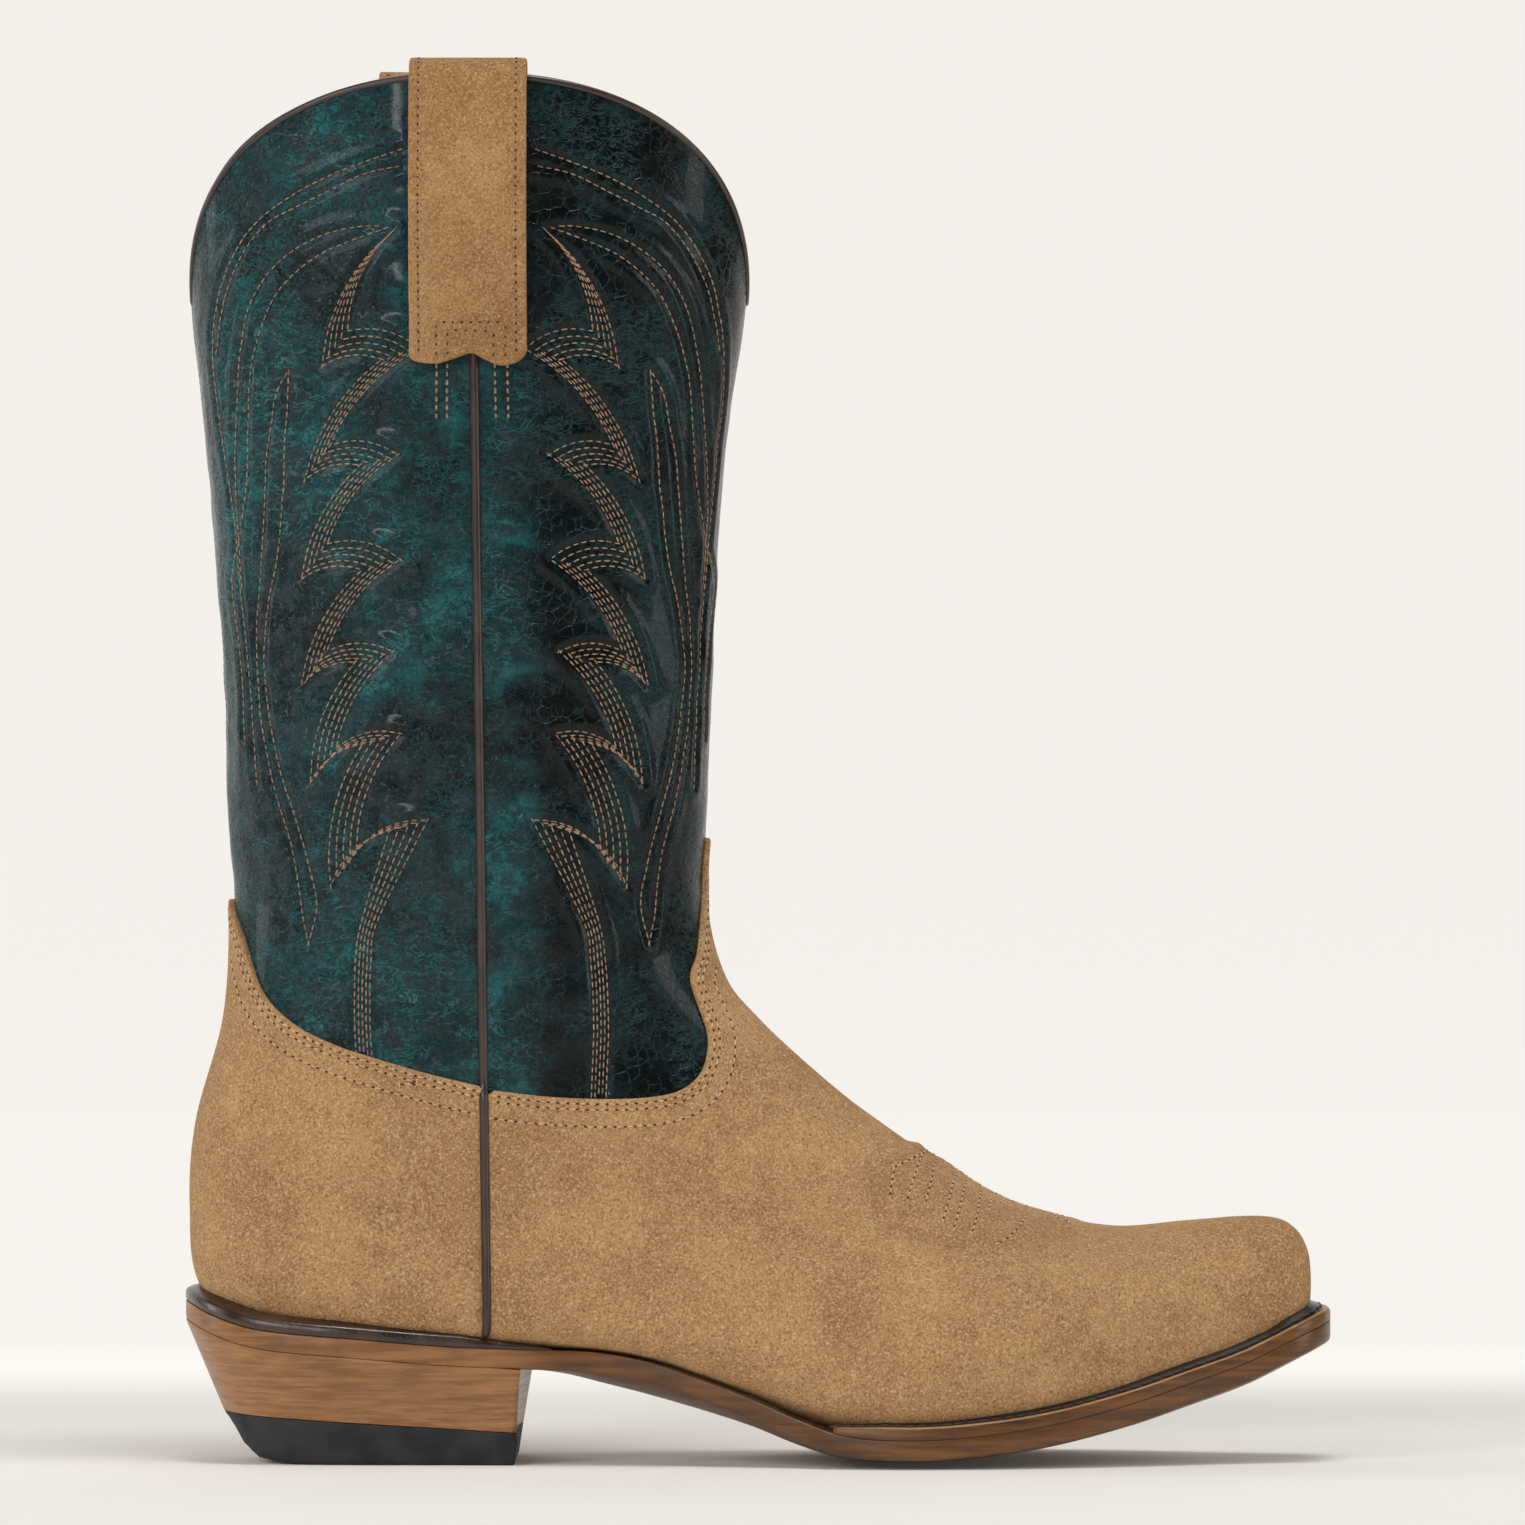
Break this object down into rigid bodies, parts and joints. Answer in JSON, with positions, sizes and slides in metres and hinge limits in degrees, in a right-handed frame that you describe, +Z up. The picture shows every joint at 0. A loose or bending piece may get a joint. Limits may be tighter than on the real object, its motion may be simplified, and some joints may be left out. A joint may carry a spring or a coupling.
{
  "type": "cowboy boot",
  "caption": "Right western boot with a tall scalloped teal leather shaft, tan suede vamp and heel cover, pull straps, square snip toe, welted leather sole and underslung stacked heel.",
  "frame": {"origin": "middle of the bounding box, on the floor the heel stands on", "axes": "+X from heel to toe, -Y towards the outer side of the foot, +Z up"},
  "size_m": [0.3146, 0.1022, 0.3833],
  "materials": {
    "cork": "granulated cork",
    "rubber": "black, matte",
    "suede": "tan suede, napped",
    "heel_leather": "stacked leather, burnished",
    "lining_leather": "natural smooth lining leather",
    "steel": "plain steel",
    "trim_leather": "dark brown, glossy",
    "stiffener_board": "undyed stiffened leather",
    "insole_leather": "undyed vegetable-tanned leather",
    "sole_leather": "burnished edge, satin",
    "glazed_leather": "waxed and burnished, dark teal, fine crackle",
    "peg_wood": "bare lemonwood",
    "welt_leather": "near-black, satin"
  },
  "bodies": {
    "root": {"cork_filler": "cork", "heel_cap": "rubber", "heel_cover": "suede", "heel_lift_1": "heel_leather", "heel_lift_2": "heel_leather", "heel_lift_3": "heel_leather", "heel_lift_4": "heel_leather", "heel_lining": "lining_leather", "heel_nail_1": "steel", "heel_nail_2": "steel", "heel_nail_3": "steel", "heel_nail_4": "steel", "heel_nail_5": "steel", "heel_rand": "trim_leather", "heel_sock": "lining_leather", "heel_stiffener": "stiffener_board", "inner_piping": "trim_leather", "inner_pull_strap": "suede", "inner_strap_backing": "lining_leather", "insole": "insole_leather", "outer_piping": "trim_leather", "outer_pull_strap": "suede", "outer_strap_backing": "lining_leather", "outsole": "sole_leather", "shaft_back": "glazed_leather", "shaft_front": "glazed_leather", "shaft_lining_back": "lining_leather", "shaft_lining_front": "lining_leather", "shank_cover": "insole_leather", "steel_shank": "steel", "toe_box": "stiffener_board", "top_binding_back": "trim_leather", "top_binding_front": "trim_leather", "vamp": "suede", "vamp_interlining": "stiffener_board", "vamp_lining": "lining_leather", "waist_peg_1": "peg_wood", "waist_peg_10": "peg_wood", "waist_peg_11": "peg_wood", "waist_peg_12": "peg_wood", "waist_peg_2": "peg_wood", "waist_peg_3": "peg_wood", "waist_peg_4": "peg_wood", "waist_peg_5": "peg_wood", "waist_peg_6": "peg_wood", "waist_peg_7": "peg_wood", "waist_peg_8": "peg_wood", "waist_peg_9": "peg_wood", "welt": "welt_leather"}
  },
  "joints": []
}
